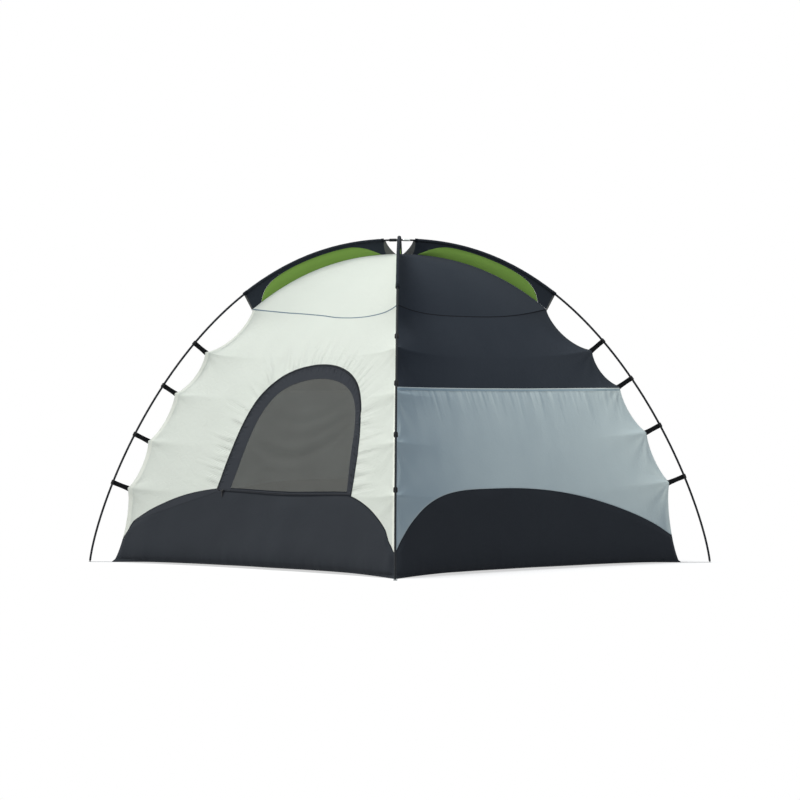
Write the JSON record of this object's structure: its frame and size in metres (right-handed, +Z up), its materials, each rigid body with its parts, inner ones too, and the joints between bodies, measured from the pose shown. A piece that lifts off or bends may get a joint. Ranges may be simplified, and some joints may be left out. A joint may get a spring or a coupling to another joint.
{
  "type": "dome tent inner",
  "caption": "Free-standing dome tent inner with crossed shock-corded poles, clip straps, bathtub floor, roof fins and D-shaped mesh doors that swing open.",
  "frame": {"origin": "on the ground under the crown of the crossed poles, at the middle of the square floor", "axes": "+Z up; the floor's sides run along X and Y; the two doors face -Y and +Y; each pole stands in a vertical plane over a diagonal of the floor"},
  "size_m": [2.6392, 2.6392, 1.9442],
  "materials": {
    "white_polyester": "matte woven polyester, slightly sheer",
    "dark_polyester": "matte woven polyester",
    "blue_grey_polyester": "matte woven polyester",
    "coated_tub_fabric": "woven polyester with a faint sheen from its waterproof coating",
    "green_polyester": "matte woven polyester",
    "door_mesh": "fine see-through insect netting",
    "black_webbing": "matte woven strap with a moulded plastic hook or a pressed eyelet",
    "black_fibreglass": "satin wrapped fibreglass tube",
    "black_nylon_coil": "matte nylon coil zip",
    "painted_zinc": "satin black paint",
    "elastic_cord": "woven cover over rubber"
  },
  "bodies": {
    "tent": {"groundsheet": "coated_tub_fabric", "tub_wall_front": "coated_tub_fabric", "wall_panel_front": "white_polyester", "roof_panel_front": "white_polyester", "door_zip_front": "black_nylon_coil", "tub_wall_right": "coated_tub_fabric", "wall_panel_lower_right": "blue_grey_polyester", "wall_panel_upper_right": "dark_polyester", "roof_panel_right": "dark_polyester", "tub_wall_rear": "coated_tub_fabric", "wall_panel_rear": "white_polyester", "roof_panel_rear": "white_polyester", "door_zip_rear": "black_nylon_coil", "tub_wall_left": "coated_tub_fabric", "wall_panel_lower_left": "blue_grey_polyester", "wall_panel_upper_left": "dark_polyester", "roof_panel_left": "dark_polyester", "fin_front_left": "dark_polyester", "fin_gusset_front_left": "green_polyester", "corner_tab_front_left": "black_webbing", "clip_front_left_1": "black_webbing", "clip_front_left_2": "black_webbing", "clip_front_left_3": "black_webbing", "clip_front_left_4": "black_webbing", "fin_front_right": "dark_polyester", "fin_gusset_front_right": "green_polyester", "corner_tab_front_right": "black_webbing", "clip_front_right_1": "black_webbing", "clip_front_right_2": "black_webbing", "clip_front_right_3": "black_webbing", "clip_front_right_4": "black_webbing", "fin_rear_right": "dark_polyester", "fin_gusset_rear_right": "green_polyester", "corner_tab_rear_right": "black_webbing", "clip_rear_right_1": "black_webbing", "clip_rear_right_2": "black_webbing", "clip_rear_right_3": "black_webbing", "clip_rear_right_4": "black_webbing", "fin_rear_left": "dark_polyester", "fin_gusset_rear_left": "green_polyester", "corner_tab_rear_left": "black_webbing", "clip_rear_left_1": "black_webbing", "clip_rear_left_2": "black_webbing", "clip_rear_left_3": "black_webbing", "clip_rear_left_4": "black_webbing", "pole_lower_front_left": "black_fibreglass", "pole_lower_rear_right": "black_fibreglass", "pole_upper_front_right": "black_fibreglass", "pole_upper_rear_left": "black_fibreglass", "shock_cord_lower": "elastic_cord", "shock_cord_upper": "elastic_cord"},
    "door_front": {"door_border_front": "dark_polyester", "door_mesh_front": "door_mesh"},
    "slider_front": {"zip_slider_front": "painted_zinc"},
    "pull_front": {"zip_pull_front": "painted_zinc"},
    "door_rear": {"door_border_rear": "dark_polyester", "door_mesh_rear": "door_mesh"},
    "slider_rear": {"zip_slider_rear": "painted_zinc"},
    "pull_rear": {"zip_pull_rear": "painted_zinc"}
  },
  "joints": [
    {"name": "door_front_hinge", "type": "hinge", "parent": "tent", "child": "door_front", "pos_m": [0.67944, -1.01184, 0.64658], "axis": [-0.1471, 0.2997, 0.9426], "range_deg": [0, 110]},
    {"name": "slider_front_travel", "type": "slide", "parent": "tent", "child": "slider_front", "axis": [0.9999, 0.0117, 0], "range_m": [0, 0.5]},
    {"name": "pull_front_hinge", "type": "hinge", "parent": "slider_front", "child": "pull_front", "pos_m": [-0.39487, -1.06052, 0.44238], "axis": [-0.9999, -0.0117, 0], "range_deg": [0, 150]},
    {"name": "door_rear_hinge", "type": "hinge", "parent": "tent", "child": "door_rear", "pos_m": [-0.67945, 1.01188, 0.64658], "axis": [0.1471, -0.2998, 0.9426], "range_deg": [0, 110]},
    {"name": "slider_rear_travel", "type": "slide", "parent": "tent", "child": "slider_rear", "axis": [-0.9999, -0.0117, 0], "range_m": [0, 0.5]},
    {"name": "pull_rear_hinge", "type": "hinge", "parent": "slider_rear", "child": "pull_rear", "pos_m": [0.39487, 1.06053, 0.44238], "axis": [0.9999, 0.0117, 0], "range_deg": [0, 150]}
  ]
}
